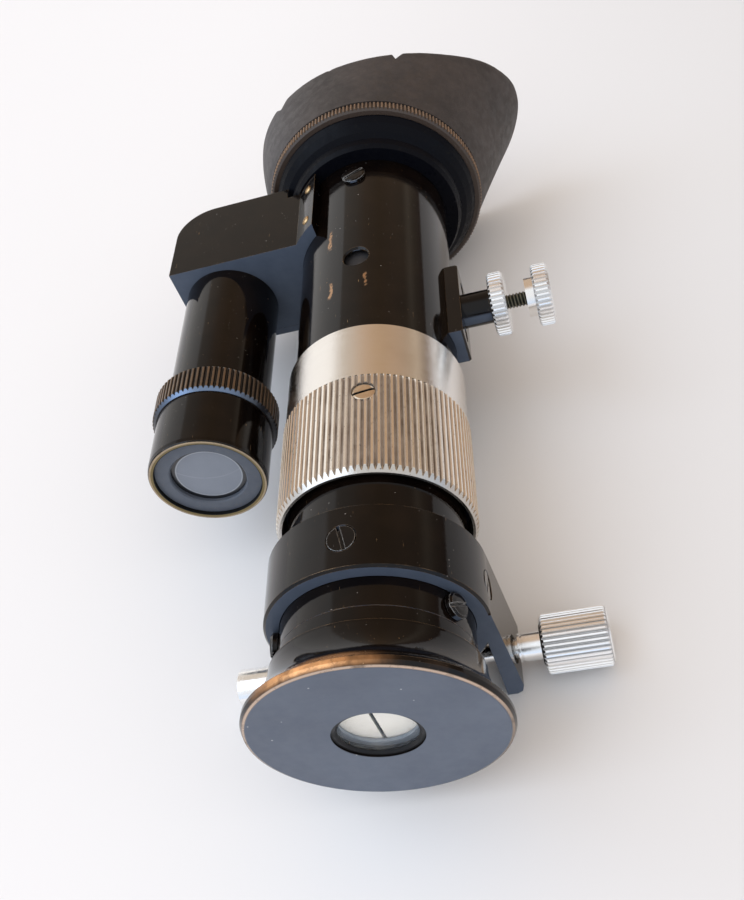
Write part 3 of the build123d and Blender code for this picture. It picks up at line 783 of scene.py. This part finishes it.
def eyecup():
    """The rubber cup: tall wing on the +X side, rounded lip, small nicks, uneven wall."""
    count = 480
    outer_rows, lip_rows, inner_rows = 34, 7, 26
    turns = [2 * math.pi * j / count for j in range(count)]
    tops = [rim_height(turn) for turn in turns]
    points = []
    for i in range(outer_rows):
        for turn, top in zip(turns, tops):
            y = CUP_BASE + (top - LIP_HEIGHT - CUP_BASE) * i / (outer_rows - 1)
            ripple = noise.noise(Vector((2 * math.cos(turn), 0.12 * y, 2 * math.sin(turn))))
            points.append(cup_point(y, turn, 0.03 + 0.1 * max(0.0, ripple)))
    for i in range(1, lip_rows + 1):
        sweep = math.pi * i / (lip_rows + 1)
        for turn, top in zip(turns, tops):
            inset = CUP_WALL / 2 * (1 - math.cos(sweep))
            rise = LIP_HEIGHT * math.sin(sweep) ** 0.8
            spot = cup_point(top - LIP_HEIGHT, turn, max(inset, 0.03))
            points.append(spot + Vector((0, rise, 0)))
    for i in range(inner_rows):
        for turn, top in zip(turns, tops):
            y = top - LIP_HEIGHT + (CUP_SEAT - top + LIP_HEIGHT) * i / (inner_rows - 1)
            points.append(cup_point(y, turn, CUP_WALL))
    for y in (CUP_SEAT - 0.01, CUP_BASE):
        for turn in turns:
            spot = cup_point(y, turn, CUP_WALL)
            reach = max(math.hypot(spot.x, spot.z), CUP_BORE)
            points.append(Vector((reach * math.cos(turn), y, reach * math.sin(turn))))
    rows = outer_rows + lip_rows + inner_rows + 2
    cup = solid_mesh(
        "eyecup_skin", points, loops_to_faces(rows, count, True), rubber("rubber")
    )
    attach(cup, "eyepiece_cup")
    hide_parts("eyecup")


def adjust_thread():
    """The adjusting screw: a cut helical thread of 0.5 mm pitch, and its flange in the knob."""
    pitch, crest, depth = 0.5, 1.12, 0.2
    x0, x1, step, count = 9.35, 23.5, pitch / 8, 40
    rows = int((x1 - x0) / step) + 1
    turns = [2 * math.pi * j / count for j in range(count)]
    points = []
    profile = [(x0, 0.02)]
    profile += [(x0 + (x1 - x0) * i / (rows - 1), None) for i in range(rows)]
    profile += [(23.5, 2.95), (24.75, 2.95), (24.75, 0.02)]
    for x, radius in profile:
        for turn in turns:
            phase = x / pitch - turn / (2 * math.pi)
            cut = depth * (0.5 - 0.5 * math.cos(2 * math.pi * phase)) ** 0.8
            reach = crest - cut if radius is None else radius
            points.append((x, ADJUST_Y + reach * math.cos(turn), reach * math.sin(turn)))
    faces = loops_to_faces(len(profile), count, False)
    faces.append(tuple(range(count)))
    faces.append(tuple(range(len(points) - count, len(points))))
    screw = solid_mesh("adjust_thread", points, faces, thread_nickel("thread_nickel"))
    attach(screw, "screw")
    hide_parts("adjust_screw")


eyecup()
adjust_thread()


# ---------------------------------------------------------------- floor, light, camera
def floor():
    s = Shader("floor")
    # painted shade: the floor's colour darkens from left to right, and is cooler on the left, in place of
    # light falling off across it
    right_painted_shade = s.steps(s.x, -60.0, 130.0)
    tint_with_painted_falloff = s.mix(right_painted_shade, rgb(0.775, 0.79, 0.81), rgb(0.628, 0.638, 0.648))
    s.set(
        Base_Color=s.mix(s.math("MULTIPLY", s.noise(0.02, 3.0), 0.1), tint_with_painted_falloff, rgb(0.7, 0.7, 0.7)),
        Roughness=0.65,
    )
    level = cad_box[0].z
    reach = 12.0
    mesh = bpy.data.meshes.new("floor")
    corners = [
        (reach * x, reach * y, level) for x, y in ((-1, -1), (1, -1), (1, 1), (-1, 1))
    ]
    mesh.from_pydata(corners, [], [(0, 1, 2, 3)])
    mesh.materials.append(s.material)
    made = bpy.data.objects.new("floor", mesh)
    scene.collection.objects.link(made)


# the room towards the eye end, by angle from +X up over the barrel: degrees, colour
ROOM = (
    (-180, rgb(0.9, 0.88, 0.85)),
    (-30, rgb(0.6, 0.56, 0.52)),
    (-14, rgb(0.3, 0.25, 0.21)),
    (2, rgb(0.2, 0.145, 0.12)),
    (14, rgb(0.36, 0.28, 0.21)),
    (23, rgb(0.62, 0.5, 0.38)),
    (32, rgb(0.42, 0.31, 0.22)),
    (50, rgb(0.5, 0.35, 0.24)),
    (70, rgb(0.5, 0.34, 0.21)),
    (92, rgb(0.58, 0.42, 0.3)),
    (106, rgb(0.62, 0.52, 0.43)),
    (126, rgb(0.66, 0.59, 0.52)),
    (130, rgb(1.12, 1.09, 1.06)),
    (180, rgb(1.12, 1.1, 1.08)),
)


def world():
    """A pale room: cool light low in front, a tan wall overhead and to the right at the back."""
    made = bpy.data.worlds.new("room")
    scene.world = made
    made.use_nodes = True
    tree = made.node_tree
    s = Graph(tree, "Generated", 1.0)
    turn = s.math("ARCTAN2", s.z, s.x)
    around = s.math("ADD", s.math("DIVIDE", turn, 2 * math.pi), 0.5)
    ramp = tree.nodes.new("ShaderNodeValToRGB")
    stops = ramp.color_ramp.elements
    while len(stops) < len(ROOM):
        stops.new(0.5)
    for stop, (degrees, colour) in zip(stops, ROOM):
        stop.position = degrees / 360 + 0.5
        stop.color = colour
    tree.links.new(around, ramp.inputs[0])
    front = s.mix(s.steps(s.z, -0.1, 0.8), rgb(0.74, 0.88, 1.1), rgb(0.92, 0.94, 0.97))
    lit = s.mix(s.steps(s.y, -0.15, 0.3), front, ramp.outputs[0])
    shade = tree.nodes.new("ShaderNodeBackground")
    tree.links.new(lit, shade.inputs[0])
    shade.inputs[1].default_value = 1.0
    output = tree.nodes.new("ShaderNodeOutputWorld")
    tree.links.new(shade.outputs[0], output.inputs[0])


def sun(name, energy, spread, towards, colour, mirrored):
    data = bpy.data.lights.new(name, "SUN")
    data.energy = energy
    data.angle = math.radians(spread)
    data.color = colour
    lamp = bpy.data.objects.new(name, data)
    lamp.rotation_euler = Vector(towards).to_track_quat("-Z", "Y").to_euler()
    lamp.visible_glossy = mirrored
    scene.collection.objects.link(lamp)


def camera():
    data = bpy.data.cameras.new("camera")
    data.lens = 40.125
    data.sensor_width = 36.0
    data.clip_start = 0.005
    eye = bpy.data.objects.new("camera", data)
    turn = Matrix.Rotation(math.radians(16.0), 4, "Y")
    turn @= Matrix.Rotation(math.radians(-0.2807), 4, "Z")
    turn @= Matrix.Rotation(math.radians(42.195), 4, "X")
    turn @= Matrix.Rotation(math.radians(0.4904), 4, "Y")
    eye.matrix_world = Matrix.Translation(Vector((28.383, -50.849, 98.983)) * MM) @ turn
    scene.collection.objects.link(eye)
    scene.camera = eye


floor()
world()
sun("window", 0.92, 55, (0.62, 0.12, -0.78), (0.8, 1.0, 1.28), True)
sun("bounce", 0.9, 150, (-0.35, 0.3, -0.88), (1.2, 0.92, 0.66), False)
camera()
scene.view_settings.view_transform = "Standard"
